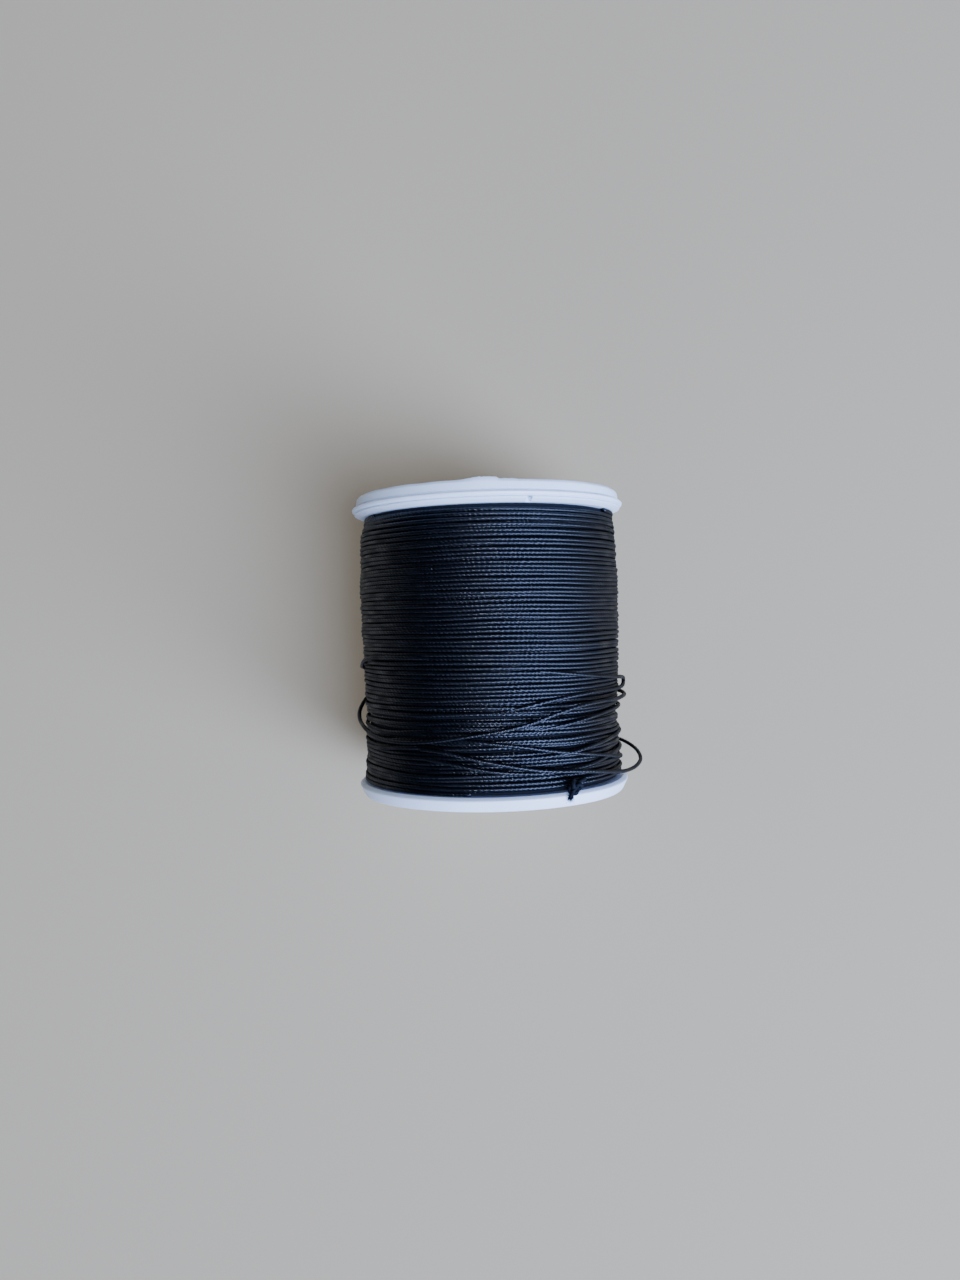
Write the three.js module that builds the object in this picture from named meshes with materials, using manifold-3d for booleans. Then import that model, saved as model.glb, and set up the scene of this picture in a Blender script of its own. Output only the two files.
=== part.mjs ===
// A flanged plastic spool of heavy black thread with a snap cap, lying on its side.
// Millimetres. +Y runs along the spool's axis to the snap cap, +Z is up, and z = 0 is the floor.
import * as THREE from "three";
import { mergeVertices } from "three/addons/utils/BufferGeometryUtils.js";
import Module from "manifold-3d";

const wasm = await Module();
wasm.setup();

// Overall sizes. Radii are from the axis, and y = 0 is the middle of the winding until the end.
const rimRadius = 19.85; // the widest part of both ends
const windingWidth = 38.3; // between the two flanges
const facets = 48; // flats round each turned piece: the part rests on one of them
const gap = 0.3; // between pieces that touch on the real spool

// Barrel
const barrelRadius = 11;
const barrelWall = 1.2;

// Base flange, with the spindle tube that the spool turns on
const baseThickness = 1.95;
const basePlate = 1.2; // the flange inside its raised rim
const baseRidge = 0.42; // from the inner face to the widest line
const baseTaper = 0.76; // how far the rim draws in to the end face
const locatingRing = 3; // height of the ring that the barrel sits round
const ribCount = 4; // webs between the spindle tube and the locating ring
const ribThickness = 1;
const boreRadius = 4.25;
const tubeWall = 1.2;

// Fixed flange at the cap end
const capFlangeThickness = 0.85;
const capFlangeInset = 0.3; // how far it stays inside the rim's widest line
const bevelWidth = 0.95; // outside the flat inner face
const bevelLand = 0.15;
const slitAngle = 16; // degrees from the top towards +X
const slitWidth = 0.6;
const slitDepth = 1.6;

// Snap cap
const capThickness = 1.8;
const capPlate = 1;
const capTravel = 1.5; // how far it lifts to let go of the thread's end
const beadHeight = 0.35; // the rounded lip round its lower edge
const capStep = 0.55; // in from the lip to the wall above it
const capTaper = 0.45; // from the wall in to the end face
const capTube = 12.25; // length of its half of the spindle tube
const skirtDepth = 6.5; // how far the snap skirt reaches into the barrel
const skirtWall = 1.1;
const catchDepth = 0.2; // how far the skirt's snap bead stands past the barrel's wall
const catchHeight = 1;
const slotWidth = 1.2; // between the skirt's fingers
const slotCount = 4;
const lipHeight = 0.45; // the thumb lip on the end face
const lipDepth = 1;
const lipStart = -3.4; // along X, with the slopes at each end
const lipEnd = 1.9;
const lipSlope = 2;

// Paper labels, sunk into both end faces
const rimWidth = 1.5; // the raised rim round each label
const hubCollar = 0.8; // the raised ring round the bore
const labelThickness = 0.2;

// Thread
const threadDiameter = 0.6;
const windingDepths = [1.65, 1.23, 0.95, 1.05, 1.25, 1.2, 1]; // below the rims, cap end to base end
const knotAngle = 32;
const knotProud = 0.45; // the knot's middle, outside the rims
const knotFromBase = 0.75; // from the base flange's inner face to the knot's middle
const knotSize = [1, 0.9, 0.8]; // half its length round the spool, along it and outwards

// Loose strands, as [degrees from the top towards +X, radius, y]
const slackStrand = [
  [-130, 19.2, -6.3], [-122, 19.5, -6.6], [-114, 19.95, -7.15], [-106, 20.15, -7.8], [-98, 19.95, -8.65],
  [-90, 19.8, -9.5], [-81, 19.55, -10.3], [-70, 19.4, -11], [-62, 19.4, -11.5], [-54, 19.4, -11.9],
  [-41, 19.4, -12.15], [-27, 19.4, -11.9], [-13, 19.4, -11.3], [4, 19.4, -10.5], [14, 19.4, -9.75],
  [24, 19.4, -8.75], [36, 19.4, -7.9], [50, 19.4, -7.6], [63, 19.4, -7.65], [74, 19.4, -7.6],
  [84, 19.6, -7.55], [94, 19.65, -7.4], [103, 19.45, -7.3], [112, 19.2, -7.25],
];
const looseLoop = [
  [-31, 19.15, -12.95], [-22, 19.35, -13.15], [-13, 19.4, -13.75], [-5, 19.4, -14.4], [4, 19.4, -15.05],
  [18, 19.4, -15.95], [36, 19.4, -16.6], [48, 19.4, -17.15], [57, 19.45, -17.6], [64, 19.6, -17.9],
  [70, 19.95, -18.1], [76, 20.55, -18.1], [81.5, 21.2, -17.9], [86.6, 21.8, -17.5], [91.8, 22.05, -17],
  [96.8, 22, -16.4], [101.7, 21.65, -15.85], [107, 21.1, -15.35], [114, 20.3, -14.95], [122, 19.6, -14.65],
  [130, 19.2, -14.45],
];
const stepsPerStrand = 42;
const strandSides = 8;

// Places worked out from the sizes
const barrelBore = barrelRadius - barrelWall;
const tubeRadius = boreRadius + tubeWall;
const baseInner = -windingWidth / 2;
const baseOuter = baseInner - baseThickness;
const baseFloor = baseInner - basePlate;
const flangeInner = windingWidth / 2;
const flangeOuter = flangeInner + capFlangeThickness;
const capInner = flangeOuter + gap;
const capOuter = capInner + capThickness;
const capFloor = capInner + capPlate;
const capFlangeRadius = rimRadius - capFlangeInset;
const capWall = rimRadius - capStep;
const capTop = capWall - capTaper;
const spindleSplit = capInner - capTube; // where the base's tube meets the cap's
const skirtEnd = flangeOuter - skirtDepth;
const skirtRadius = barrelBore - gap;
const catchRadius = barrelBore + catchDepth;
const collarRadius = tubeRadius + hubCollar;
const labelInner = collarRadius + gap;

// A closed solid from a geometry, for cutting and joining.
function solid(geometry) {
  const bare = geometry.index ? geometry.toNonIndexed() : geometry.clone();
  bare.deleteAttribute("normal");
  bare.deleteAttribute("uv");
  const merged = mergeVertices(bare, 1e-4);
  const vertProperties = merged.attributes.position.array;
  const triVerts = new Uint32Array(merged.index.array);
  return new wasm.Manifold(new wasm.Mesh({ numProp: 3, vertProperties, triVerts }));
}

// The geometry of a cut or joined solid.
function geometryOf(shape) {
  const { vertProperties, triVerts } = shape.getMesh();
  const geometry = new THREE.BufferGeometry();
  geometry.setAttribute("position", new THREE.BufferAttribute(vertProperties, 3));
  geometry.setIndex(new THREE.BufferAttribute(triVerts, 1));
  geometry.computeVertexNormals();
  return geometry;
}

// A profile of [radius, y] points, going round anticlockwise, turned about the axis.
function turned(profile) {
  const closed = [...profile, profile[0]].map(([radius, y]) => new THREE.Vector2(radius, y));
  return new THREE.LatheGeometry(closed, facets, Math.PI / facets);
}

// A ring of rectangular section.
function ring(innerRadius, outerRadius, low, high) {
  return turned([[innerRadius, low], [outerRadius, low], [outerRadius, high], [innerRadius, high]]);
}

// A box from the axis outwards, turned about the axis by an angle from +Z towards +X.
function spoke(width, innerRadius, outerRadius, low, high, degrees) {
  const box = new THREE.BoxGeometry(width, high - low, outerRadius - innerRadius);
  box.translate(0, (low + high) / 2, (innerRadius + outerRadius) / 2);
  return box.rotateY(THREE.MathUtils.degToRad(degrees));
}

function piece(name, geometry, material) {
  const mesh = new THREE.Mesh(geometry, material);
  mesh.name = name;
  return mesh;
}

// The tube that the thread is wound on, with a groove inside for the cap's snap bead.
function barrelGeometry() {
  const low = baseInner + gap;
  const grooveRadius = catchRadius + gap;
  const grooveLow = skirtEnd - gap;
  const grooveHigh = skirtEnd + catchHeight + capTravel + gap;
  return turned([
    [barrelBore, low], [barrelRadius, low], [barrelRadius, flangeOuter], [barrelBore, flangeOuter],
    [barrelBore, grooveHigh], [grooveRadius, grooveHigh], [grooveRadius, grooveLow], [barrelBore, grooveLow],
  ]);
}

// The end disc, its raised rim and collar, the barrel's locating ring, and the spindle tube with its ribs.
function baseFlangeGeometry() {
  const ringOuter = barrelBore - gap;
  const ringInner = ringOuter - skirtWall;
  const ringTop = baseInner + locatingRing;
  const faceRadius = rimRadius - baseTaper;
  const edge = 0.35; // rounding of the rim's outer edge
  let shape = solid(turned([
    [boreRadius, baseOuter], [collarRadius, baseOuter], [collarRadius, baseFloor],
    [faceRadius - rimWidth, baseFloor], [faceRadius - rimWidth, baseOuter], [faceRadius - edge, baseOuter],
    [faceRadius, baseOuter + edge], [rimRadius, baseInner - baseRidge], [rimRadius - 2 * edge, baseInner],
    [ringOuter, baseInner], [ringOuter, ringTop], [ringInner, ringTop], [ringInner, baseInner],
    [tubeRadius, baseInner], [tubeRadius, spindleSplit - gap / 2], [boreRadius, spindleSplit - gap / 2],
  ]));
  for (let rib = 0; rib < ribCount; rib++) {
    const degrees = (360 / ribCount) * (rib + 0.5);
    const inner = (boreRadius + tubeRadius) / 2;
    const outer = (ringInner + ringOuter) / 2;
    shape = shape.add(solid(spoke(ribThickness, inner, outer, baseInner - gap, ringTop - gap, degrees)));
  }
  return geometryOf(shape);
}

// The fixed disc at the cap end, bevelled outside the winding, with a slit that catches the thread's end.
function capFlangeGeometry() {
  const disc = turned([
    [barrelRadius + gap, flangeInner], [capFlangeRadius - bevelWidth, flangeInner],
    [capFlangeRadius, flangeOuter - bevelLand], [capFlangeRadius, flangeOuter],
    [barrelRadius + gap, flangeOuter],
  ]);
  const low = flangeInner - 1;
  const high = flangeOuter + 1;
  const slit = spoke(slitWidth, capFlangeRadius - slitDepth, capFlangeRadius + 1, low, high, slitAngle);
  return geometryOf(solid(disc).subtract(solid(slit)));
}

// The thumb lip: a low bank with sloping ends, standing on the cap's end face at its edge.
function thumbLip() {
  const sunk = capThickness / 4;
  const side = new THREE.Shape([
    new THREE.Vector2(lipStart, -sunk), new THREE.Vector2(lipEnd, -sunk), new THREE.Vector2(lipEnd, 0),
    new THREE.Vector2(lipEnd - lipSlope / 2, lipHeight), new THREE.Vector2(lipStart + lipSlope, lipHeight),
    new THREE.Vector2(lipStart, 0),
  ]);
  const bank = new THREE.ExtrudeGeometry(side, { depth: 2 * lipDepth, bevelEnabled: false });
  bank.translate(0, capOuter, capTop - 1.5 * lipDepth);
  return solid(bank).intersect(solid(ring(capTop - lipDepth, capTop, capFloor, capOuter + 1)));
}

// The moving cap: its disc, lip and collar, the spindle tube, and the slotted skirt with its snap bead.
function snapCapGeometry() {
  const edge = 0.3; // rounding of the end face's outer edge
  const step = 0.15; // chamfers of the lower lip
  const lipTop = capInner + beadHeight;
  const skirtInner = skirtRadius - skirtWall;
  const catchTop = skirtEnd + catchHeight;
  let shape = solid(turned([
    [boreRadius, spindleSplit + gap / 2], [tubeRadius, spindleSplit + gap / 2], [tubeRadius, capInner],
    [skirtInner, capInner], [skirtInner, skirtEnd], [skirtRadius, skirtEnd], [catchRadius, skirtEnd + edge],
    [catchRadius, catchTop - edge], [skirtRadius, catchTop], [skirtRadius, capInner],
    [rimRadius - step, capInner], [rimRadius, capInner + step], [rimRadius, lipTop - step],
    [rimRadius - step, lipTop], [capWall, lipTop + step / 3], [capWall, lipTop + beadHeight],
    [(capWall + 2 * capTop) / 3 + step, capOuter - edge], [capTop, capOuter], [capTop - rimWidth, capOuter],
    [capTop - rimWidth, capFloor], [collarRadius, capFloor], [collarRadius, capOuter], [boreRadius, capOuter],
  ]));
  for (let slot = 0; slot < slotCount; slot++) {
    const degrees = (360 / slotCount) * slot;
    const low = skirtEnd - 1;
    const high = capInner - slotWidth;
    const cut = spoke(slotWidth, tubeRadius + gap, barrelRadius, low, high, degrees);
    shape = shape.subtract(solid(cut));
  }
  return geometryOf(shape.add(thumbLip()));
}

// The wound thread as one crowned ring, out to the middle of its outer turns.
function windingGeometry() {
  const low = baseInner + gap;
  const high = flangeInner - gap;
  const last = windingDepths.length - 1;
  const crown = windingDepths.map((depth, i) => {
    return new THREE.Vector2(rimRadius - depth, high + ((low - high) * i) / last);
  });
  const outline = new THREE.SplineCurve(crown).getPoints(2 * last).reverse();
  const bore = barrelRadius + gap;
  return turned([[bore, low], ...outline.map((p) => [p.x, p.y]), [bore, high]]);
}

// A loose strand through points given round the spool.
function strandGeometry(points) {
  const route = points.map(([degrees, radius, y]) => {
    const angle = THREE.MathUtils.degToRad(degrees);
    return new THREE.Vector3(radius * Math.sin(angle), y, radius * Math.cos(angle));
  });
  const section = new THREE.Shape();
  for (let side = 0; side < strandSides; side++) {
    const angle = (2 * Math.PI * side) / strandSides;
    const x = (threadDiameter / 2) * Math.cos(angle);
    const y = (threadDiameter / 2) * Math.sin(angle);
    if (side) section.lineTo(x, y);
    else section.moveTo(x, y);
  }
  const extrudePath = new THREE.CatmullRomCurve3(route);
  return new THREE.ExtrudeGeometry(section, { steps: stepsPerStrand, extrudePath, bevelEnabled: false });
}

// The knot that ends the thread, where it sits at the base flange.
function knotGeometry() {
  const knot = new THREE.SphereGeometry(1, 12, 8).scale(...knotSize);
  knot.translate(0, baseInner + knotFromBase, rimRadius + knotProud);
  return knot.rotateY(THREE.MathUtils.degToRad(knotAngle));
}

const plastic = new THREE.MeshStandardMaterial({ color: 0xe4e9f2, roughness: 0.38, metalness: 0 });
const flangePlastic = plastic.clone();
const capPlastic = plastic.clone();
const barrelPlastic = plastic.clone();
const paper = new THREE.MeshStandardMaterial({ color: 0xf3f2ee, roughness: 0.8, metalness: 0 });
const thread = new THREE.MeshStandardMaterial({ color: 0x0b0e16, roughness: 0.45, metalness: 0 });

const spool = new THREE.Group();
spool.add(piece("barrel", barrelGeometry(), barrelPlastic));
spool.add(piece("base_flange", baseFlangeGeometry(), plastic));
spool.add(piece("cap_flange", capFlangeGeometry(), flangePlastic));
spool.add(piece("thread_winding", windingGeometry(), thread));
spool.add(piece("slack_strand", strandGeometry(slackStrand), thread.clone()));
spool.add(piece("loose_loop", strandGeometry(looseLoop), thread.clone()));
spool.add(piece("end_knot", knotGeometry(), thread.clone()));

const labelOuter = rimRadius - baseTaper - rimWidth - gap;
const baseLabel = ring(labelInner, labelOuter, baseFloor - gap - labelThickness, baseFloor - gap);
spool.add(piece("base_label", baseLabel, paper));

const cap = new THREE.Group(); // what moves when the cap is lifted
cap.add(piece("snap_cap", snapCapGeometry(), capPlastic));
const capLabelOuter = capTop - rimWidth - gap;
const capLabel = ring(labelInner, capLabelOuter, capFloor + gap, capFloor + gap + labelThickness);
cap.add(piece("cap_label", capLabel, paper.clone()));
spool.add(cap);

// The spool lies on a flat of its two rims, with its length centred on the origin.
const restHeight = rimRadius * Math.cos(Math.PI / facets);
spool.position.set(0, -(baseOuter + capOuter + lipHeight) / 2, restHeight);

const part = new THREE.Group();
part.add(spool);
export default part;
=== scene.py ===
import math

import bpy
import numpy as np
from mathutils import Matrix, Vector


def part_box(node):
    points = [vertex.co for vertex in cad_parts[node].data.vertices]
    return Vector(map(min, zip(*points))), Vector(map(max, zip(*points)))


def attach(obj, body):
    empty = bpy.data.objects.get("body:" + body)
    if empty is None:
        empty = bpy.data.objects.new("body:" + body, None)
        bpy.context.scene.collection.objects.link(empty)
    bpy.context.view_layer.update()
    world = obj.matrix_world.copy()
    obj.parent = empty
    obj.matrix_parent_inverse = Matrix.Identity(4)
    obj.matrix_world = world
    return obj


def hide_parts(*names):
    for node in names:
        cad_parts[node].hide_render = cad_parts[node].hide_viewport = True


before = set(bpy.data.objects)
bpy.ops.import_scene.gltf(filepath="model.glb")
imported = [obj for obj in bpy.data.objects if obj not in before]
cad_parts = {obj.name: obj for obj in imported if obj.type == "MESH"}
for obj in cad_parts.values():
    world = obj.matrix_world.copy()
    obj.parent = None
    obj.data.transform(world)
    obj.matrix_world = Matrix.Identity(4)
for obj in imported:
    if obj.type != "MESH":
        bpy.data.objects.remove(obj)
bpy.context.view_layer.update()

# A plastic spool of heavy bonded thread with a snap cap, lying on its side.
# Shapes are worked out in millimetres from the middle of the winding: x to the right, y along the
# axis to the cap, z up. place() turns them into metres in the frame.
mm = 0.001
gap = 0.3  # between pieces that touch on the real spool
windingLow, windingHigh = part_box("thread_winding")
centre = np.array((0, (windingLow.y + windingHigh.y) / 2, (windingLow.z + windingHigh.z) / 2))


def place(points):
    return np.asarray(points, float) * mm + centre


def span(node):
    # lowest and highest corner of a CAD node, in millimetres from the middle of the winding
    low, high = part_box(node)
    return (np.array(low) - centre) / mm, (np.array(high) - centre) / mm


facetFit = math.cos(math.pi / 48)  # the CAD rings are 48-sided, so their boxes are this much smaller
rimRadius = span("base_flange")[1][0] / facetFit
baseInner = span("thread_winding")[0][1] - gap  # faces that the thread is wound between
flangeInner = span("thread_winding")[1][1] + gap
baseOuter = span("base_flange")[0][1]
flangeOuter = span("cap_flange")[1][1]
capInner = flangeOuter + gap
barrelRadius = span("barrel")[1][0] / facetFit

# ---- small helpers


def addNode(tree, kind, settings, inputs):
    # settings go on the node; an input is a value, or a socket to link from
    node = tree.nodes.new(kind)
    for name, value in settings.items():
        setattr(node, name, value)
    for name, value in inputs.items():
        if isinstance(value, bpy.types.NodeSocket):
            tree.links.new(value, node.inputs[name])
        else:
            node.inputs[name].default_value = value
    return node


def hexColour(text):
    # sRGB hex to linear RGBA
    parts = [int(text[i:i + 2], 16) / 255 for i in (1, 3, 5)]
    return [c / 12.92 if c <= 0.04045 else ((c + 0.055) / 1.055) ** 2.4 for c in parts] + [1]


def wander(t, scale, seed):
    # a smooth random value from -1 to 1 that changes over about one scale
    knots = np.random.default_rng(seed).uniform(-1, 1, 512)
    x = np.asarray(t, float) / scale + 1000 * 512
    i = np.floor(x).astype(int)
    f = x - i
    f = f * f * (3 - 2 * f)
    return knots[i % 512] * (1 - f) + knots[(i + 1) % 512] * f


def drift(angle, y, seed):
    # a smooth random value from about -1 to 1 round the spool, which changes slowly along it
    random = np.random.default_rng(seed)
    total = 0
    for waves in (1, 2, 3, 5, 8):
        size = random.uniform(0.6, 1) / waves**0.4
        shift = 2.5 * wander(y, 4.0, seed + waves) + random.uniform(0, 6)
        total = total + size * np.cos(waves * angle + shift)
    return total / 2


def ramp(x, start, end):
    # 0 before start, 1 after end, smooth between
    f = np.clip((np.asarray(x, float) - start) / (end - start), 0, 1)
    return f * f * (3 - 2 * f)


def gridMesh(name, grid, closedRows=False, capped=False):
    # rows of points that each close on themselves, joined row to row
    rows, columns = grid.shape[:2]
    index = np.arange(rows * columns).reshape(rows, columns)
    here = index if closedRows else index[:-1]
    after = np.roll(index, -1, 0) if closedRows else index[1:]
    quads = np.stack([here, np.roll(here, -1, 1), np.roll(after, -1, 1), after], -1).reshape(-1, 4)
    corners = [quads.ravel()]
    starts = [np.arange(len(quads)) * 4]
    if capped:
        corners += [index[0][::-1], index[-1]]
        starts += [[len(quads) * 4, len(quads) * 4 + columns]]
    corners = np.concatenate(corners)
    starts = np.concatenate(starts)
    mesh = bpy.data.meshes.new(name)
    mesh.vertices.add(rows * columns)
    mesh.vertices.foreach_set("co", place(grid.reshape(-1, 3)).ravel())
    mesh.loops.add(len(corners))
    mesh.loops.foreach_set("vertex_index", corners.astype(np.int32))
    mesh.polygons.add(len(starts))
    mesh.polygons.foreach_set("loop_start", starts.astype(np.int32))
    mesh.update(calc_edges=True)
    mesh.validate()
    return mesh


def addPiece(name, mesh, material, body, sharpFrom=30):
    piece = bpy.data.objects.new(name, mesh)
    bpy.context.collection.objects.link(piece)
    mesh.materials.clear()
    mesh.materials.append(material)
    mesh.polygons.foreach_set("use_smooth", [True] * len(mesh.polygons))
    mesh.set_sharp_from_angle(angle=math.radians(sharpFrom))
    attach(piece, body)
    return piece


def roundedProfile(corners, steps=5):
    # corners are (radius, y, fillet) round a section; each fillet becomes an arc
    points = []
    for i, (radius, y, fillet) in enumerate(corners):
        here = Vector((radius, y))
        toBefore = (Vector(corners[i - 1][:2]) - here).normalized()
        toAfter = (Vector(corners[(i + 1) % len(corners)][:2]) - here).normalized()
        if not fillet:
            points.append(here)
            continue
        half = toBefore.angle(toAfter) / 2
        middle = here + (toBefore + toAfter).normalized() * (fillet / math.sin(half))
        start = here + toBefore * (fillet / math.tan(half)) - middle
        turn = start.angle_signed(here + toAfter * (fillet / math.tan(half)) - middle)
        for step in range(steps + 1):
            angle = -turn * step / steps
            points.append(middle + Matrix.Rotation(angle, 2) @ start)
    return np.array(points)


def latheGrid(profile, segments):
    # the profile turned about the axis, one row for each profile point
    angle = 2 * math.pi * np.arange(segments) / segments
    grid = np.empty((len(profile), segments, 3))
    grid[:, :, 0] = profile[:, :1] * np.sin(angle)
    grid[:, :, 1] = profile[:, 1:]
    grid[:, :, 2] = profile[:, :1] * np.cos(angle)
    return grid


def ringAt(grid, radial, along=0.0):
    # moves each point outwards by radial and along the axis by along
    radius = np.hypot(grid[:, :, 0], grid[:, :, 2])
    grid[:, :, 0] *= 1 + radial / radius
    grid[:, :, 2] *= 1 + radial / radius
    grid[:, :, 1] += along
    return grid


def spokeBox(name, width, inner, outer, low, high, degrees):
    # a box from the axis outwards, turned from +Z towards +X; used to cut or join
    across, out, along = width / 2, (inner, outer), (low, high)
    corners = [(x, y, z) for x in (-across, across) for y in along for z in out]
    turn = Matrix.Rotation(math.radians(degrees), 3, "Y")
    faces = [(0, 1, 3, 2), (4, 6, 7, 5), (0, 4, 5, 1), (2, 3, 7, 6), (0, 2, 6, 4), (1, 5, 7, 3)]
    mesh = bpy.data.meshes.new(name)
    mesh.from_pydata([list(p) for p in place([turn @ Vector(c) for c in corners])], [], faces)
    tool = bpy.data.objects.new(name, mesh)
    bpy.context.collection.objects.link(tool)
    return tool


def cutOrJoin(mesh, tools, operation):
    # one Boolean for each tool, applied to the mesh; the tools are removed
    piece = bpy.data.objects.new("work", mesh)
    bpy.context.collection.objects.link(piece)
    for tool in tools:
        change = piece.modifiers.new(tool.name, "BOOLEAN")
        change.object = tool
        change.operation = operation
        change.solver = "EXACT"
    result = bpy.data.meshes.new_from_object(piece.evaluated_get(bpy.context.evaluated_depsgraph_get()))
    for old in [piece, *tools]:
        bpy.data.objects.remove(old)
    return result


# ---- camera

camera = bpy.data.objects.new("camera", bpy.data.cameras.new("camera"))
bpy.context.collection.objects.link(camera)
camera.data.lens = 27  # a phone's main lens
camera.data.sensor_width = 36
camera.data.clip_start = 0.01
lean = Matrix.Rotation(math.radians(1.57), 4, "Z")
lean = lean @ Matrix.Rotation(math.radians(0.23), 4, "Y") @ Matrix.Rotation(math.radians(1.28), 4, "X")
camera.matrix_world = Matrix.Translation(place((-2.09, 4.12, 143.1))) @ lean.transposed()
bpy.context.scene.camera = camera
print("camera ready")

# ---- thread: three plies of nylon filament, twisted and bonded

thread = {
    "diameter": 0.6,
    "plyTwist": 1.9,  # mm of thread for one turn of the three plies
    "lobe": [(-28, 0.95), (0, 1.0), (28, 0.95), (60, 0.82)],  # degrees and reach: one ply and its groove
    "widened": 1.04,  # along the spool, for turns pressed on it
    "flattened": 0.9,
    "step": 0.21,  # mm between sections
    "colour": "#030406",
    "worn": "#0c0e14",  # where the bond has rubbed off the filaments
    "sheen": "#bccfff",  # the dye gives the resin a cold sheen
    "roughness": 0.36,
    "filament": 0.15,  # mm; real ones are 0.025 mm, drawn coarser so that they show
    "filamentBump": 1.0,
}


def bondedNylon(name, coat, rough):
    # Bonded nylon: a thin clear resin over black filaments gives a soft, slightly blue sheen
    # along each strand, broken into short glints where the plies turn.
    material = bpy.data.materials.new(name)
    material.use_nodes = True
    tree = material.node_tree
    shader = tree.nodes["Principled BSDF"]
    strand = addNode(tree, "ShaderNodeAttribute", {"attribute_name": "strand"}, {})
    # strand.x is mm along the thread, y and z go round its section
    stretched = addNode(tree, "ShaderNodeMapping", {}, {
        "Vector": strand.outputs["Vector"],
        "Scale": (0.35, 1, 1),
    })
    filaments = addNode(tree, "ShaderNodeTexNoise", {}, {
        "Vector": stretched.outputs["Vector"],
        "Scale": 0.5 / thread["filament"],
        "Detail": 2.0,
        "Roughness": 0.6,
    })
    patches = addNode(tree, "ShaderNodeTexNoise", {}, {
        "Vector": strand.outputs["Vector"],
        "Scale": 0.35,  # about 3 mm
        "Detail": 3.0,
    })
    wear = addNode(tree, "ShaderNodeMapRange", {}, {
        "Value": patches.outputs["Fac"],
        "From Min": 0.5,
        "From Max": 0.75,
        "To Max": 0.8,
    })
    colour = addNode(tree, "ShaderNodeMix", {"data_type": "RGBA"}, {"Factor": wear.outputs["Result"]})
    colour.inputs[6].default_value = hexColour(thread["colour"])
    colour.inputs[7].default_value = hexColour(thread["worn"])
    gloss = addNode(tree, "ShaderNodeMapRange", {}, {
        "Value": filaments.outputs["Fac"],
        "From Min": 0.3,
        "From Max": 0.7,
        "To Min": rough - 0.08,
        "To Max": rough + 0.12,
    })
    bump = addNode(tree, "ShaderNodeBump", {}, {
        "Height": filaments.outputs["Fac"],
        "Strength": thread["filamentBump"],
        "Distance": 0.05 * mm,
    })
    tree.links.new(colour.outputs[2], shader.inputs["Base Color"])
    tree.links.new(gloss.outputs["Result"], shader.inputs["Roughness"])
    tree.links.new(bump.outputs["Normal"], shader.inputs["Normal"])
    tree.links.new(bump.outputs["Normal"], shader.inputs["Coat Normal"])
    shader.inputs["IOR"].default_value = 1.36
    shader.inputs["Specular Tint"].default_value = hexColour(thread["sheen"])
    shader.inputs["Coat Weight"].default_value = coat
    shader.inputs["Coat Roughness"].default_value = 0.16
    return material


threadMaterial = bondedNylon("bondedNylonBlack", 0.35, thread["roughness"])
# the same nylon where the bond is broken or missing, so the filaments are dull
frayedMaterial = bondedNylon("frayedNylonBlack", 0.0, 0.75)


def evenPath(points, step):
    # a smooth line through the points, with even steps
    points = np.asarray(points, float)
    ends = [2 * points[0] - points[1], *points, 2 * points[-1] - points[-2]]
    fine = []
    for p0, p1, p2, p3 in zip(ends, ends[1:], ends[2:], ends[3:]):
        d0, d1, d2 = (max(np.linalg.norm(b - a), 1e-9) ** 0.5 for a, b in ((p0, p1), (p1, p2), (p2, p3)))
        m1 = ((p1 - p0) / d0 - (p2 - p0) / (d0 + d1) + (p2 - p1) / d1) * d1
        m2 = ((p2 - p1) / d1 - (p3 - p1) / (d1 + d2) + (p3 - p2) / d2) * d1
        s = np.linspace(0, 1, 24, endpoint=False)[:, None]
        fine.append((2 * s**3 - 3 * s**2 + 1) * p1 + (s**3 - 2 * s**2 + s) * m1
                    + (3 * s**2 - 2 * s**3) * p2 + (s**3 - s**2) * m2)
    fine = np.vstack([*fine, points[-1:]])
    walked = np.concatenate([[0], np.cumsum(np.linalg.norm(np.diff(fine, axis=0), axis=1))])
    count = max(int(walked[-1] / step), 2)
    at = np.linspace(0, walked[-1], count + 1)
    return np.stack([np.interp(at, walked, fine[:, i]) for i in range(3)], 1)


def sectionAxes(path):
    # two directions across the path at each point, carried along it without turning
    tangent = np.gradient(path, axis=0)
    tangent /= np.linalg.norm(tangent, axis=1)[:, None]
    first = np.empty_like(tangent)
    across = Vector(tangent[0]).orthogonal().normalized()
    previous = Vector(tangent[0])
    for i, direction in enumerate(tangent):
        direction = Vector(direction)
        across = previous.rotation_difference(direction) @ across
        across = (across - direction * across.dot(direction)).normalized()
        first[i] = across
        previous = direction
    return first, np.cross(tangent, first)


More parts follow.
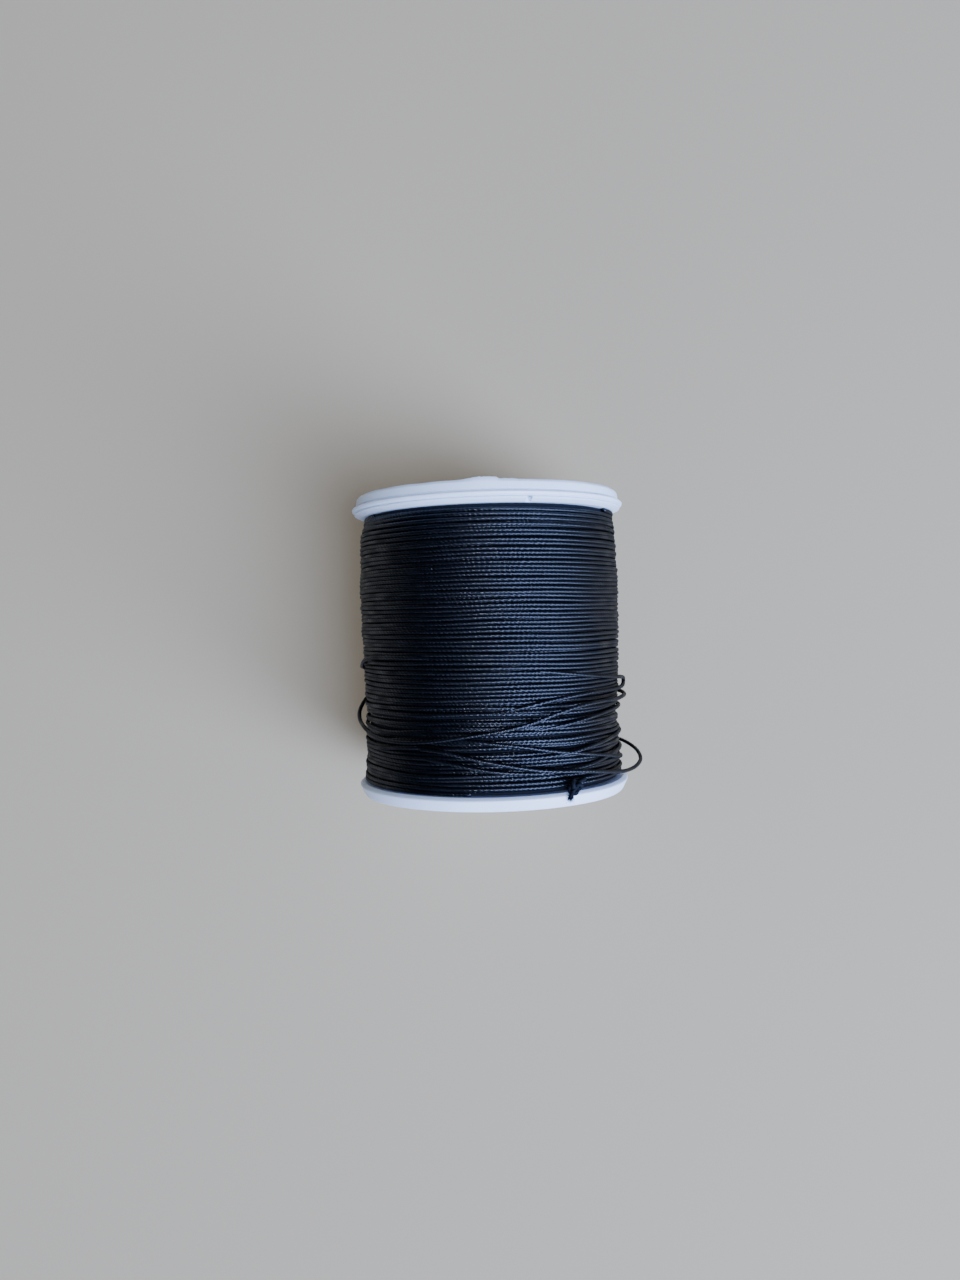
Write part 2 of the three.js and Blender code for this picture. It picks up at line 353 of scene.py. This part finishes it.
def strandMesh(name, path, diameter=thread["diameter"], twist=thread["plyTwist"], plies=3, taper=0.0,
               fromStart=0.0, pressed=False):
    # a twisted strand along an even path
    first, second = sectionAxes(path)
    walked = np.concatenate([[0], np.cumsum(np.linalg.norm(np.diff(path, axis=0), axis=1))])
    lobe = [(degrees + 360 / plies * i, part) for i in range(plies) for degrees, part in thread["lobe"]]
    if plies == 1:
        lobe = [(60 * i, 1) for i in range(6)]
    around = np.radians([degrees for degrees, part in lobe])
    reach = np.array([part for degrees, part in lobe]) * diameter / 2
    turned = 2 * math.pi * (walked + fromStart) / twist + 1.2 * wander(walked + fromStart, 2.6, 61)
    angle = around[None] + turned[:, None]
    size = np.ones(len(path))
    if taper:
        size = 1 - (1 - taper) * ramp(walked, 0, walked[-1])
    radius = reach[None] * size[:, None]
    offset = (first[:, None] * (radius * np.cos(angle))[:, :, None]
              + second[:, None] * (radius * np.sin(angle))[:, :, None])
    if pressed:  # turns on the spool are squeezed wider and flatter
        outwards = path * (1, 0, 1)
        outwards /= np.linalg.norm(outwards, axis=1)[:, None]
        height = np.einsum("ijk,ik->ij", offset, outwards)
        offset += (thread["flattened"] - 1) * height[:, :, None] * outwards[:, None]
        offset[:, :, 1] *= thread["widened"]
    grid = path[:, None] + offset
    mesh = gridMesh(name, grid, capped=True)
    ownAngle = np.broadcast_to(around[None], angle.shape)
    own = np.stack([np.broadcast_to((walked + fromStart)[:, None], angle.shape),
                    diameter / 2 * np.cos(ownAngle), diameter / 2 * np.sin(ownAngle)], -1)
    mesh.attributes.new("strand", "FLOAT_VECTOR", "POINT").data.foreach_set("vector", own.ravel())
    return mesh


def onSpool(points):
    # [degrees from the top towards +X, radius, y] to x, y, z
    angle, radius, y = np.asarray(points, float).T
    angle = np.radians(angle)
    return np.stack([radius * np.sin(angle), y, radius * np.cos(angle)], 1)


# The two loose lengths of thread, as [degrees from the top towards +X, radius, y]
slackRoute = [
    [-130, 19.2, -6.3], [-122, 19.5, -6.6], [-114, 19.95, -7.15], [-106, 20.15, -7.8], [-98, 19.95, -8.65],
    [-90, 19.8, -9.5], [-81, 19.55, -10.3], [-70, 19.4, -11], [-62, 19.4, -11.5], [-54, 19.4, -11.9],
    [-41, 19.4, -12.15], [-27, 19.4, -11.9], [-13, 19.4, -11.3], [4, 19.4, -10.5], [14, 19.4, -9.75],
    [24, 19.4, -8.75], [36, 19.4, -7.9], [50, 19.4, -7.6], [63, 19.4, -7.65], [74, 19.4, -7.6],
    [84, 19.6, -7.55], [94, 19.65, -7.4], [103, 19.45, -7.3], [112, 19.2, -7.25],
]
loopRoute = [
    [-31, 19.15, -12.95], [-22, 19.35, -13.15], [-13, 19.4, -13.75], [-5, 19.4, -14.4], [4, 19.4, -15.05],
    [18, 19.4, -15.95], [36, 19.4, -16.6], [48, 19.4, -17.15], [57, 19.45, -17.6], [64, 19.6, -17.9],
    [70, 19.95, -18.1], [76, 20.55, -18.1], [81.5, 21.2, -17.9], [86.6, 21.8, -17.5], [91.8, 22.05, -17],
    [96.8, 22, -16.4], [101.7, 21.65, -15.85], [107, 21.1, -15.35], [114, 20.3, -14.95],
    [122, 19.6, -14.65], [130, 19.2, -14.45],
]
looseStrands = {
    "slackStrand": {"route": slackRoute, "length": 0.0835, "node": "slack_strand"},
    "looseLoop": {"route": loopRoute, "length": 0.0576, "node": "loose_loop"},
}
for name, facts in looseStrands.items():
    route = evenPath(onSpool(facts["route"]), thread["step"])
    strand = addPiece(name, strandMesh(name, route), threadMaterial, "spool", 180)
    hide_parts(facts["node"])
print("loose strands ready")

# ---- winding: the outer layer as one long strand, the layer under it, and a core

winding = {
    "pitch": 0.59,  # mm between turns
    "crown": [(-18.95, 19.2), (-16.2, 19.0), (-12.6, 18.9), (-6.4, 18.8), (-1.8, 19.0), (3, 19.12),
              (7.3, 19.2), (11, 19.13), (14.6, 18.95), (17, 18.8), (18.2, 18.68), (18.95, 18.55)],
    "disturbedFrom": -7.0,  # y below which the turns lie less neatly
    "sway": 0.12,  # mm that neighbouring turns drift together
    "stray": 0.07,  # mm that each turn strays by itself
    "crowding": 0.55,  # mm that bands of turns are pushed along, so that some lie closer
    "lift": 0.11,  # mm of height that turns differ by
    "gather": {"y": -5.8, "degrees": 70, "reach": 4.5, "pull": 0.2},  # where turns draw together
    "sections": 5,  # pieces that the outer layer is split into
    "underSections": 3,
    "underDepth": 0.36,  # how far the layer below lies under the outer one
    "underPitch": 1.02,  # of the outer layer's pitch
    "underStraying": 0.4,  # of the outer layer's straying
    "coreDepth": 0.85,
    "startAngle": 1.1,  # radians
}


def windingRadius(y, angle):
    # outer surface of the wound thread
    y0, radii = zip(*winding["crown"])
    spread = np.linspace(-1.5, 1.5, 7)
    radius = np.mean([np.interp(y + d, y0, radii) for d in spread], axis=0)
    slack = ramp(y, 16.3, 18.9) * np.clip(-np.sin(angle), 0, 1)  # the shoulder is lower on the left
    return radius - 0.5 * slack + 0.04 * drift(angle, y, 5)


def windingPath(pitch, depth, seed, straying):
    half = thread["diameter"] / 2
    top = flangeInner - half - 0.03
    bottom = baseInner + half + 0.03
    turns = (top - bottom) / pitch
    t = np.arange(0, turns, thread["step"] / (2 * math.pi * 18.9))
    angle = 2 * math.pi * t + winding["startAngle"]
    y = top - (top - bottom) * t / turns
    disturbed = ramp(winding["disturbedFrom"] - y, -2, 3)
    inside = ramp(top - y, 0, 3) * ramp(y - bottom, 0, 3)
    sway = winding["sway"] * (drift(angle, y, seed) + 0.5 * wander(y, 2.2, seed + 1))
    stray = winding["stray"] * (wander(t, 0.12, seed + 2) + wander(t, 0.45, seed + 3))
    crowding = winding["crowding"] * wander(y, 6.5, seed + 5)
    y = y + inside * straying * (crowding + sway * (1 + 0.9 * disturbed) + stray * (1 + 2.2 * disturbed))
    gather = winding["gather"]
    side = np.cos((angle - math.radians(gather["degrees"])) / 2) ** 4
    distance = y - gather["y"]
    y = y - straying * gather["pull"] * distance * side * np.exp(-(distance / gather["reach"]) ** 2)
    y = np.clip(y, bottom, top)
    radius = windingRadius(y, angle) - half - depth
    radius = radius + winding["lift"] * (wander(t, 0.31, seed + 4) * (1 + disturbed) - 1 - disturbed)
    return np.stack([radius * np.sin(angle), y, radius * np.cos(angle)], 1)


outerPath = windingPath(winding["pitch"], 0, 11, 1.0)
underPath = windingPath(winding["pitch"] * winding["underPitch"], winding["underDepth"], 31,
                        winding["underStraying"])[::-2]
underPath[:, 0] *= -1  # wound back the other way
layers = (
    ("outerTurns", outerPath, thread["step"], winding["sections"]),
    ("underTurns", underPath, 2 * thread["step"], winding["underSections"]),
)
windingPieces = []
for layer, path, step, sections in layers:
    cuts = np.linspace(0, len(path) - 1, sections + 1).astype(int)
    for number, (start, end) in enumerate(zip(cuts, cuts[1:])):
        mesh = strandMesh(f"{layer}{number + 1}", path[start:end + 1], fromStart=start * step, pressed=True)
        windingPieces.append(addPiece(f"{layer}{number + 1}", mesh, threadMaterial, "spool", 180))
coreY = np.linspace(flangeInner - 0.15, baseInner + 0.15, 60)
coreProfile = np.stack([windingRadius(coreY, 0) - winding["coreDepth"], coreY], 1)
coreProfile = np.vstack([[barrelRadius + gap, coreY[0]], coreProfile, [barrelRadius + gap, coreY[-1]]])
coreMesh = gridMesh("woundCore", latheGrid(coreProfile, 180), closedRows=True)
windingPieces.append(addPiece("woundCore", coreMesh, frayedMaterial, "spool"))
for piece in windingPieces:
    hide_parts("thread_winding")
print("winding ready,", len(outerPath), "sections")

# Stray lengths that lie over the turns: [degrees, height over the winding, y] from end to end
overlaps = {
    "leftBump": [[-20, -0.35, -1.0], [-34, 0.05, -0.9], [-48, 0.25, -0.8], [-60, 0.5, -0.9],
                 [-68, 0.72, -1.4], [-74, 0.6, -2.1], [-84, 0.3, -2.5], [-98, 0.05, -2.7],
                 [-112, -0.35, -2.8]],
    "rightBight": [[14, -0.35, -2.9], [24, 0.15, -3.2], [32, 0.24, -3.5], [42, 0.24, -3.9],
                   [54, 0.24, -4.3], [64, 0.34, -4.55], [72, 0.58, -4.72], [77, 0.78, -4.88],
                   [80.5, 0.88, -5.1], [83.5, 0.93, -5.5], [80.5, 0.88, -5.9], [77, 0.78, -6.12],
                   [72, 0.58, -6.26], [64, 0.34, -6.33], [54, 0.26, -6.3], [42, 0.26, -6.4],
                   [30, 0.26, -6.68], [20, 0.24, -7.16],
                   [12, 0.1, -7.67], [2, -0.35, -8.3]],
    "crossingA": [[-18, -0.35, -11.6], [-6, 0.15, -12.05], [10, 0.24, -12.75], [24, 0.24, -13.6],
                  [40, 0.24, -14.45], [56, 0.24, -15.3], [68, 0.2, -16.0], [84, 0.1, -16.5],
                  [102, -0.35, -16.7]],
    "crossingB": [[-40, -0.35, -14.0], [-22, 0.15, -14.6], [0, 0.24, -15.9], [20, 0.22, -16.4],
                  [40, 0.2, -16.1], [62, 0.18, -15.2], [85, 0.1, -14.9], [105, -0.35, -14.8]],
    "crossingC": [[-2, -0.35, -14.2], [12, 0.15, -14.3], [30, 0.24, -14.1], [48, 0.26, -13.4],
                  [62, 0.24, -12.9], [78, 0.2, -12.5], [96, -0.35, -12.3]],
    "crossingD": [[-88, -0.35, -13.1], [-72, 0.1, -13.4], [-55, 0.22, -13.3], [-38, 0.2, -12.9],
                  [-20, -0.35, -12.8]],
    "crossingE": [[15, -0.35, -10.9], [32, 0.15, -10.2], [48, 0.24, -9.5], [64, 0.24, -9.1],
                  [80, 0.15, -8.9], [98, -0.35, -8.8]],
}
for name, route in overlaps.items():
    points = [[degrees, float(windingRadius(y, math.radians(degrees))) - 0.3 + height, y]
              for degrees, height, y in route]
    path = evenPath(onSpool(points), thread["step"])
    piece = addPiece(name, strandMesh(name, path), threadMaterial, "spool", 180)
    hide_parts("thread_winding")
print("crossing strands ready")

# ---- knot at the thread's end, with its cut and frayed tail

knot = {
    "angle": 32,  # degrees from the top
    "y": baseInner + 0.65,
    "radius": 19.75,  # of its middle
    "size": 0.31,  # mm for one unit of the knot's curve
    "tailFibres": 170,
    "fibre": 0.035,  # mm, drawn a little thicker than a filament
}


def fromKnot(points):
    # (round the spool, along it, outwards) in mm from the knot's middle
    across, along, out = np.asarray(points, float).T
    angle = math.radians(knot["angle"]) + across / knot["radius"]
    radius = knot["radius"] + out
    return np.stack([radius * np.sin(angle), knot["y"] + along, radius * np.cos(angle)], 1)


turn = np.linspace(0.32, 2 * math.pi - 0.32, 22)
trefoil = np.stack([np.sin(turn) + 2 * np.sin(2 * turn), np.cos(turn) - 2 * np.cos(2 * turn),
                    -1.15 * np.sin(3 * turn)], 1) * knot["size"]
spin = Matrix.Rotation(math.radians(200), 3, "Z")
trefoil = np.array([spin @ Vector(p) for p in trefoil])
leadIn = [[2.6, 0.7, -0.9], [1.9, 0.7, -0.5]]
tail = [[-0.75, -0.8, 0.25], [-1.0, -1.3, 0.3]]
knotPath = evenPath(fromKnot(np.vstack([leadIn, trefoil, tail])), 0.09)
knotPieces = [addPiece("endKnot", strandMesh("endKnot", knotPath), frayedMaterial, "spool", 180)]
tipDirection = knotPath[-1] - knotPath[-4]
tipDirection /= np.linalg.norm(tipDirection)
fibres = np.random.default_rng(71)
fibreMeshes = []
for number in range(knot["tailFibres"]):
    start = knotPath[-1] - 0.25 * tipDirection + fibres.normal(0, 0.18, 3)
    outwards = tipDirection + fibres.normal(0, 0.5, 3)
    outwards /= np.linalg.norm(outwards)
    reach = fibres.uniform(0.3, 0.65) if number > 3 else fibres.uniform(0.9, 1.3)
    bend = fibres.normal(0, 0.16, 3)
    line = np.array([start + outwards * reach * s + bend * s * s * reach for s in np.linspace(0, 1, 7)])
    fibreMeshes.append(strandMesh(f"fibre{number}", line, knot["fibre"], plies=1, taper=0.5))
print("knot ready")


def joinMeshes(name, meshes):
    pieces = []
    for mesh in meshes:
        pieces.append(bpy.data.objects.new(mesh.name, mesh))
        bpy.context.collection.objects.link(pieces[-1])
    with bpy.context.temp_override(active_object=pieces[0], selected_editable_objects=pieces):
        bpy.ops.object.join()
    joined = pieces[0].data
    bpy.data.objects.remove(pieces[0])
    joined.name = name
    return joined


frayedTail = joinMeshes("frayedTail", fibreMeshes)
knotPieces.append(addPiece("frayedTail", frayedTail, frayedMaterial, "spool", 180))
for piece in knotPieces:
    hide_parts("end_knot")

# ---- white moulded plastic

plastic = {
    "colour": "#d9e7ff",
    "shade": "#ccdbf4",  # faint unevenness in the moulding
    "roughness": 0.36,
    "glow": 0.35,  # how much light soaks in
    "peel": 3.0,  # mm across the waves of the moulded skin
    "scuff": 0.25,  # mm between fine scuffs
}


def mouldedPlastic(name, seed):
    # Natural polypropylene, injection moulded: milky, light soaks a millimetre into it, and the skin
    # is a satin gloss with slight waves and fine scuffs.
    material = bpy.data.materials.new(name)
    material.use_nodes = True
    tree = material.node_tree
    shader = tree.nodes["Principled BSDF"]
    position = addNode(tree, "ShaderNodeTexCoord", {}, {})
    moved = addNode(tree, "ShaderNodeMapping", {}, {
        "Vector": position.outputs["Object"],
        "Location": (seed * 0.1, seed * 0.07, 0),
    })
    cloudy = addNode(tree, "ShaderNodeTexNoise", {}, {
        "Vector": moved.outputs["Vector"],
        "Scale": 1 / (4 * mm),
        "Detail": 3.0,
    })
    waves = addNode(tree, "ShaderNodeTexNoise", {}, {
        "Vector": moved.outputs["Vector"],
        "Scale": 1 / (plastic["peel"] * mm),
        "Detail": 2.0,
    })
    scuffs = addNode(tree, "ShaderNodeTexNoise", {}, {
        "Vector": moved.outputs["Vector"],
        "Scale": 1 / (plastic["scuff"] * mm),
        "Detail": 4.0,
        "Roughness": 0.65,
    })
    colour = addNode(tree, "ShaderNodeMix", {"data_type": "RGBA"}, {"Factor": cloudy.outputs["Fac"]})
    colour.inputs[6].default_value = hexColour(plastic["colour"])
    colour.inputs[7].default_value = hexColour(plastic["shade"])
    gloss = addNode(tree, "ShaderNodeMapRange", {}, {
        "Value": scuffs.outputs["Fac"],
        "From Min": 0.35,
        "From Max": 0.7,
        "To Min": plastic["roughness"] - 0.06,
        "To Max": plastic["roughness"] + 0.14,
    })
    heights = addNode(tree, "ShaderNodeMath", {"operation": "MULTIPLY_ADD"}, {})
    tree.links.new(scuffs.outputs["Fac"], heights.inputs[0])
    heights.inputs[1].default_value = 0.12
    tree.links.new(waves.outputs["Fac"], heights.inputs[2])
    bump = addNode(tree, "ShaderNodeBump", {}, {
        "Height": heights.outputs["Value"],
        "Strength": 0.5,
        "Distance": 0.06 * mm,
    })
    tree.links.new(colour.outputs[2], shader.inputs["Base Color"])
    tree.links.new(gloss.outputs["Result"], shader.inputs["Roughness"])
    tree.links.new(bump.outputs["Normal"], shader.inputs["Normal"])
    shader.inputs["IOR"].default_value = 1.49
    shader.inputs["Subsurface Weight"].default_value = plastic["glow"]
    shader.inputs["Subsurface Radius"].default_value = (1.0, 1.05, 1.2)
    shader.inputs["Subsurface Scale"].default_value = 0.9 * mm
    return material


spoolPlastic = mouldedPlastic("mouldedPolypropyleneSpool", 1)
capPlastic = mouldedPlastic("mouldedPolypropyleneCap", 2)

# ---- base flange, with the barrel's locating ring and the spindle tube

baseFlange = {
    "plate": 1.2,
    "ridge": 0.42,  # inner face to the widest line
    "taper": 0.76,
    "rim": 1.5,
    "boreRadius": 4.25,
    "tubeWall": 1.2,
    "collar": 0.8,
    "locatingRing": 3.0,
    "ringWall": 1.1,
    "barrelWall": 1.2,
    "tubeEnd": span("base_flange")[1][1],
    "ribs": 4,
    "ribWidth": 1.0,
}


def baseFlangeMesh():
    facts = baseFlange
    tube = facts["boreRadius"] + facts["tubeWall"]
    collar = tube + facts["collar"]
    face = rimRadius - facts["taper"]
    floor = baseInner - facts["plate"]
    ringOuter = barrelRadius - facts["barrelWall"] - gap
    ringInner = ringOuter - facts["ringWall"]
    ringTop = baseInner + facts["locatingRing"]
    profile = roundedProfile([
        (facts["boreRadius"], baseOuter, 0.25), (collar, baseOuter, 0.25), (collar, floor, 0.15),
        (face - facts["rim"], floor, 0.15), (face - facts["rim"], baseOuter, 0.2),
        (face, baseOuter, 0.3), (rimRadius, baseInner - facts["ridge"], 0.22),
        (rimRadius - 0.62, baseInner, 0.2), (ringOuter, baseInner, 0.2), (ringOuter, ringTop, 0.2),
        (ringInner, ringTop, 0.2), (ringInner, baseInner, 0.2), (tube, baseInner, 0.3),
        (tube, facts["tubeEnd"], 0.15), (facts["boreRadius"], facts["tubeEnd"], 0.15),
    ])
    grid = latheGrid(profile, 384)
    angle = np.arctan2(grid[:, :, 0], grid[:, :, 2])
    onEdge = ramp(np.hypot(grid[:, :, 0], grid[:, :, 2]), face - 1, face)
    grid = ringAt(grid, 0.025 * onEdge * wander(angle, 0.35, 81), 0.03 * onEdge * wander(angle, 0.5, 82))
    mesh = gridMesh("baseFlange", grid, closedRows=True)
    ribs = []
    for number in range(facts["ribs"]):
        degrees = 360 / facts["ribs"] * (number + 0.5)
        ribs.append(spokeBox(f"rib{number}", facts["ribWidth"], tube - 0.6, ringInner + 0.5,
                             baseInner - gap, ringTop - gap, degrees))
    return cutOrJoin(mesh, ribs, "UNION")


piece = addPiece("baseFlange", baseFlangeMesh(), spoolPlastic, "spool")
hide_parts("base_flange")
print("base flange ready")

# ---- fixed flange at the cap end, bevelled, with its thread slit

capFlange = {
    "inset": 0.35,
    "bevel": 0.95,
    "edgeTop": flangeOuter - 0.17,  # the rim is thinner than the plate, where the cap's lip comes down
    "slitAngle": 16,
    "slitWidth": 0.75,
    "slitDepth": 1.15,
}


def capFlangeMesh():
    facts = capFlange
    edge = rimRadius - facts["inset"]
    bore = barrelRadius + gap
    profile = roundedProfile([
        (bore, flangeInner, 0.1), (edge - facts["bevel"], flangeInner, 0.15),
        (edge, facts["edgeTop"] - 0.25, 0.05), (edge - 0.12, facts["edgeTop"], 0.1),
        (edge - 0.7, facts["edgeTop"], 0.05), (edge - 0.8, flangeOuter, 0.05), (bore, flangeOuter, 0.1),
    ])
    grid = latheGrid(profile, 720)
    angle = np.arctan2(grid[:, :, 0], grid[:, :, 2])
    onEdge = ramp(np.hypot(grid[:, :, 0], grid[:, :, 2]), edge - 1, edge)
    grid = ringAt(grid, 0.03 * onEdge * wander(angle, 0.3, 91))
    sideways = (angle - math.radians(facts["slitAngle"])) * edge
    grid = ringAt(grid, -0.12 * onEdge * np.exp(-(sideways / 0.5) ** 2))
    mesh = gridMesh("capFlange", grid, closedRows=True)
    slit = spokeBox("slit", facts["slitWidth"], edge - facts["slitDepth"], edge + 1,
                    flangeInner - 1, flangeOuter + 1, facts["slitAngle"])
    return cutOrJoin(mesh, [slit], "DIFFERENCE")


piece = addPiece("capFlange", capFlangeMesh(), spoolPlastic, "spool")
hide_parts("cap_flange")
print("cap flange ready")

# ---- snap cap

snapCap = {
    "thickness": 1.8,
    "plate": 1.0,
    "bead": 0.2,
    "shadowGap": 0.025,  # the dark line between the two discs
    "step": 0.55,
    "taper": 0.45,
    "rim": 1.5,
    "skirtDepth": 6.5,
    "skirtWall": 1.1,
    "catch": 0.2,
    "catchHeight": 1.0,
    "slots": 4,
    "slotWidth": 1.2,
    "lipStart": -4.4,
    "lipEnd": 1.9,
    "lipHeight": 0.3,
    "scarEnd": 3.8,  # a ragged edge goes on past the lip
}


def snapCapMesh():
    facts = snapCap
    bore = baseFlange["boreRadius"]
    tube = bore + baseFlange["tubeWall"]
    collar = tube + baseFlange["collar"]
    capOuter = capInner + facts["thickness"]
    floor = capInner + facts["plate"]
    wall = rimRadius - facts["step"]
    top = wall - facts["taper"]
    skirtEnd = flangeOuter - facts["skirtDepth"]
    split = baseFlange["tubeEnd"] + gap
    barrelBore = barrelRadius - baseFlange["barrelWall"]
    skirt = barrelBore - gap
    catch = barrelBore + facts["catch"]
    catchTop = skirtEnd + facts["catchHeight"]
    inner = skirt - facts["skirtWall"]
    beadTop = capInner + facts["bead"]
    beadLow = capFlange["edgeTop"] + facts["shadowGap"]
    profile = roundedProfile([
        (bore, split, 0.15), (tube, split, 0.15), (tube, capInner, 0.3), (inner, capInner, 0.2),
        (inner, skirtEnd, 0.2), (skirt, skirtEnd, 0.1), (catch, skirtEnd + 0.3, 0.1),
        (catch, catchTop - 0.3, 0.1), (skirt, catchTop, 0.05), (skirt, capInner, 0.2),
        (rimRadius - 0.95, capInner, 0.05), (rimRadius - 0.85, beadLow, 0.05),
        (rimRadius - 0.4, beadLow, 0.1), (rimRadius - 0.05, beadLow + 0.2, 0.1),
        (rimRadius, beadTop - 0.15, 0.08), (rimRadius - 0.12, beadTop, 0.06),
        (wall - 0.38, beadTop + 0.04, 0.08), (wall - 0.02, beadTop + 0.34, 0.1),
        (wall - 0.15, capOuter - 0.35, 0.3), (top, capOuter, 0.2),
        (top - facts["rim"], capOuter, 0.2), (top - facts["rim"], floor, 0.15), (collar, floor, 0.15),
        (collar, capOuter, 0.25), (bore, capOuter, 0.25),
    ])
    grid = latheGrid(profile, 640)
    angle = np.arctan2(grid[:, :, 0], grid[:, :, 2])
    radius = np.hypot(grid[:, :, 0], grid[:, :, 2])
    onEdge = ramp(radius, top - 1, top)
    grid = ringAt(grid, 0.03 * onEdge * wander(angle, 0.3, 101))
    across = grid[:, :, 0]
    outward = ramp(radius, top - 1.2, top - 0.5) * (grid[:, :, 2] > 0)
    high = ramp(grid[:, :, 1], capOuter - 0.5, capOuter - 0.02)
    bank = ramp(across, facts["lipStart"], -1.1) * (1 - ramp(across, 0.2, facts["lipEnd"]))
    ragged = ramp(across, -2.4, -1.6) * (1 - ramp(across, facts["scarEnd"] - 0.4, facts["scarEnd"]))
    lift = facts["lipHeight"] * bank + 0.07 * ragged * (0.6 + wander(across, 0.28, 103))
    grid[:, :, 1] += outward * high * lift
    grid[:, :, 1] += 0.035 * onEdge * high * wander(angle, 0.12, 104)
    sideways = (angle - math.radians(capFlange["slitAngle"])) * rimRadius
    dent = np.exp(-(sideways / 0.28) ** 2) * ramp(radius, wall - 0.4, wall) * (grid[:, :, 1] > beadTop)
    grid = ringAt(grid, -0.07 * dent)
    mesh = gridMesh("snapCap", grid, closedRows=True)
    slots = []
    for number in range(facts["slots"]):
        slots.append(spokeBox(f"slot{number}", facts["slotWidth"], tube + gap, barrelRadius, skirtEnd - 1,
                              capInner - facts["slotWidth"], 360 / facts["slots"] * number))
    return cutOrJoin(mesh, slots, "DIFFERENCE")


piece = addPiece("snapCap", snapCapMesh(), capPlastic, "cap")
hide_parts("snap_cap")
print("snap cap ready")

# ---- paper labels, blank

label = {"thickness": 0.2, "colour": "#f1efe8", "edge": "#d8d2c4", "grain": 0.4, "warp": 0.05}


def coatedPaper():
    # Coated label paper: matt off-white, faint fibre grain, a little greyer where hands rub it.
    material = bpy.data.materials.new("coatedLabelPaper")
    material.use_nodes = True
    tree = material.node_tree
    shader = tree.nodes["Principled BSDF"]
    position = addNode(tree, "ShaderNodeTexCoord", {}, {})
    grain = addNode(tree, "ShaderNodeTexNoise", {}, {
        "Vector": position.outputs["Object"],
        "Scale": 1 / (label["grain"] * mm),
        "Detail": 5.0,
        "Roughness": 0.7,
    })
    stains = addNode(tree, "ShaderNodeTexNoise", {}, {
        "Vector": position.outputs["Object"],
        "Scale": 1 / (6 * mm),
        "Detail": 4.0,
    })
    rubbed = addNode(tree, "ShaderNodeMapRange", {}, {
        "Value": stains.outputs["Fac"],
        "From Min": 0.5,
        "From Max": 0.8,
        "To Max": 0.7,
    })
    colour = addNode(tree, "ShaderNodeMix", {"data_type": "RGBA"}, {"Factor": rubbed.outputs["Result"]})
    colour.inputs[6].default_value = hexColour(label["colour"])
    colour.inputs[7].default_value = hexColour(label["edge"])
    gloss = addNode(tree, "ShaderNodeMapRange", {}, {
        "Value": grain.outputs["Fac"],
        "To Min": 0.55,
        "To Max": 0.8,
    })
    bump = addNode(tree, "ShaderNodeBump", {}, {
        "Height": grain.outputs["Fac"],
        "Strength": 0.35,
        "Distance": 0.05 * mm,
    })
    tree.links.new(colour.outputs[2], shader.inputs["Base Color"])
    tree.links.new(gloss.outputs["Result"], shader.inputs["Roughness"])
    tree.links.new(bump.outputs["Normal"], shader.inputs["Normal"])
    shader.inputs["IOR"].default_value = 1.47
    return material


labelPaper = coatedPaper()


def labelMesh(name, node, seed):
    low, high = span(node)
    outer = high[0] / facetFit
    inner = baseFlange["boreRadius"] + baseFlange["tubeWall"] + baseFlange["collar"] + gap
    radii = np.linspace(inner, outer, 14)
    front = [(radius, high[1]) for radius in radii]
    back = [(radius, low[1]) for radius in radii[::-1]]
    grid = latheGrid(np.array(front + back)[::-1], 240)
    angle = np.arctan2(grid[:, :, 0], grid[:, :, 2])
    radius = np.hypot(grid[:, :, 0], grid[:, :, 2])
    warp = label["warp"] * wander(angle, 0.9, seed) * ramp(radius, inner, outer)
    grid = ringAt(grid, 0.05 * wander(angle, 0.2, seed + 1) * ramp(radius, inner, outer), warp)
    return gridMesh(name, grid, closedRows=True)


labels = (("baseLabel", "base_label", "spool", 121), ("capLabel", "cap_label", "cap", 131))
for name, node, body, seed in labels:
    piece = addPiece(name, labelMesh(name, node, seed), labelPaper, body)
    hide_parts(node)
print("labels ready")

# ---- the CAD pieces that keep their shape

for materialSlot in bpy.data.objects["barrel"].material_slots:
    materialSlot.material = spoolPlastic

# ---- floor and lights

stage = {"floor": "#988b75", "floorSize": 12.0}
floorMesh = bpy.data.meshes.new("floor")
half = stage["floorSize"] / 2
floorMesh.from_pydata([(-half, -half, 0), (half, -half, 0), (half, half, 0), (-half, half, 0)], [],
                      [(0, 1, 2, 3)])
floor = bpy.data.objects.new("floor", floorMesh)
bpy.context.collection.objects.link(floor)
floorMaterial = bpy.data.materials.new("paleFloor")
floorMaterial.use_nodes = True
floorShader = floorMaterial.node_tree.nodes["Principled BSDF"]
floorShader.inputs["Base Color"].default_value = hexColour(stage["floor"])
floorShader.inputs["Roughness"].default_value = 0.9
floorMesh.materials.append(floorMaterial)


def areaLight(name, position, size, power, colour):
    light = bpy.data.lights.new(name, "AREA")
    light.shape = "RECTANGLE"
    light.size, light.size_y = size
    light.energy = power
    light.color = hexColour(colour)[:3]
    lamp = bpy.data.objects.new(name, light)
    bpy.context.collection.objects.link(lamp)
    lamp.location = position
    aim = Vector((0, 0, 0.02)) - lamp.location
    lamp.rotation_euler = aim.to_track_quat("-Z", "Y").to_euler()
    return lamp


areaLight("skyRight", (0.43, -0.27, 0.5), (0.34, 1.15), 26.0, "#bcd2ff")
areaLight("skyAbove", (0.2, -0.1, 0.63), (0.22, 0.8), 2.0, "#c8daff")
areaLight("skyGlint", (-0.02, 0.03, 0.7), (0.05, 0.08), 1.7, "#ffffff")
areaLight("skyFront", (-0.2, -0.6, 0.28), (0.3, 0.3), 1.4, "#d0deff")
world = bpy.data.worlds.new("world")
bpy.context.scene.world = world
world.use_nodes = True
world.node_tree.nodes["Background"].inputs["Color"].default_value = hexColour("#d6e0f2")
world.node_tree.nodes["Background"].inputs["Strength"].default_value = 0.025
print("floor and lights ready")
